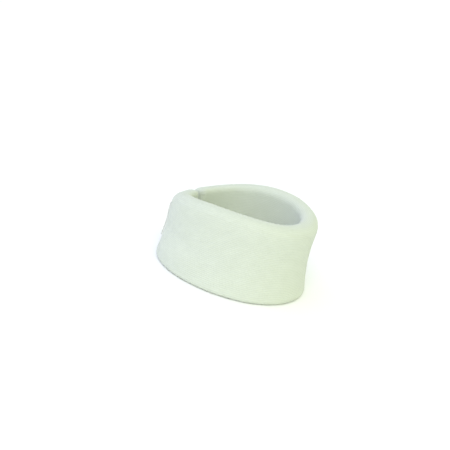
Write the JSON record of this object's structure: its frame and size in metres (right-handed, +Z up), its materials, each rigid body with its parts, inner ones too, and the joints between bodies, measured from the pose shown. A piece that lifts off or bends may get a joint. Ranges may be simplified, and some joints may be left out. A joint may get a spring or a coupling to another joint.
{
  "type": "cervical collar",
  "caption": "Soft foam cervical collar in a knitted cover, worn round the neck and closed behind by a hook strap on a loop strip.",
  "frame": {"origin": "centre of the footprint, on the plane the bottom edge rests on", "axes": "+Z up along the neck; the chin side is at -Y and the closure at +Y; the wearer's left is +X"},
  "size_m": [0.1506, 0.1678, 0.085],
  "materials": {
    "cover": "matte ribbed knit",
    "foam": "matte open-cell foam",
    "thread": "matte twisted thread",
    "loop_tape": "matte looped pile",
    "hook_tape": "satin woven tape",
    "hooks": "matte moulded hooks"
  },
  "bodies": {
    "front": {"cover_front": "cover", "foam_front": "foam"},
    "right_jaw": {"cover_right_jaw": "cover", "foam_right_jaw": "foam"},
    "right_side": {"cover_right_side": "cover", "foam_right_side": "foam"},
    "left_jaw": {"cover_left_jaw": "cover", "foam_left_jaw": "foam"},
    "left_side": {"cover_left_side": "cover", "foam_left_side": "foam"},
    "right_end": {"cover_right_end": "cover", "foam_right_end": "foam", "right_end_seam": "cover", "right_end_seam_stitches": "thread", "hook_strap_anchor": "hook_tape", "hook_strap_folded_end": "hook_tape", "hook_strap_anchor_stitches": "thread"},
    "left_end": {"cover_left_end": "cover", "foam_left_end": "foam", "left_end_seam": "cover", "left_end_seam_stitches": "thread", "loop_strip": "loop_tape", "loop_strip_stitches": "thread"},
    "strap_tail": {"hook_strap_tail": "hook_tape", "hook_field": "hooks"},
    "strap_tab": {"pull_tab": "hook_tape", "pull_tab_hem": "hook_tape", "pull_tab_stitches": "thread"}
  },
  "joints": [
    {"name": "right_jaw_bend", "type": "hinge", "parent": "front", "child": "right_jaw", "pos_m": [-0.05056, -0.06363, 0.04], "axis": [0, 0, 1], "range_deg": [0, 12]},
    {"name": "right_side_bend", "type": "hinge", "parent": "right_jaw", "child": "right_side", "pos_m": [-0.07656, 0.00299, 0.04], "axis": [0, 0, 1], "range_deg": [0, 28]},
    {"name": "right_end_bend", "type": "hinge", "parent": "right_side", "child": "right_end", "pos_m": [-0.05364, 0.06235, 0.04], "axis": [0, 0, 1], "range_deg": [0, 36]},
    {"name": "left_jaw_bend", "type": "hinge", "parent": "front", "child": "left_jaw", "pos_m": [0.05056, -0.06363, 0.04], "axis": [0, 0, -1], "range_deg": [0, 12]},
    {"name": "left_side_bend", "type": "hinge", "parent": "left_jaw", "child": "left_side", "pos_m": [0.07656, 0.00299, 0.04], "axis": [0, 0, -1], "range_deg": [0, 28]},
    {"name": "left_end_bend", "type": "hinge", "parent": "left_side", "child": "left_end", "pos_m": [0.05364, 0.06235, 0.04], "axis": [0, 0, -1], "range_deg": [0, 36]},
    {"name": "strap_peel", "type": "hinge", "parent": "right_end", "child": "strap_tail", "pos_m": [-0.00413, 0.08443, 0.033], "axis": [0, 0, 1], "range_deg": [0, 150]},
    {"name": "tab_lift", "type": "hinge", "parent": "strap_tail", "child": "strap_tab", "pos_m": [0.0339, 0.07654, 0.033], "axis": [0, 0, 1], "range_deg": [0, 60]}
  ],
  "couplings": [
    {"joint": "right_side_bend", "follows": "right_jaw_bend", "ratio": 2.3333},
    {"joint": "right_end_bend", "follows": "right_jaw_bend", "ratio": 3},
    {"joint": "left_jaw_bend", "follows": "right_jaw_bend", "ratio": 1},
    {"joint": "left_side_bend", "follows": "right_jaw_bend", "ratio": 2.3333},
    {"joint": "left_end_bend", "follows": "right_jaw_bend", "ratio": 3}
  ]
}
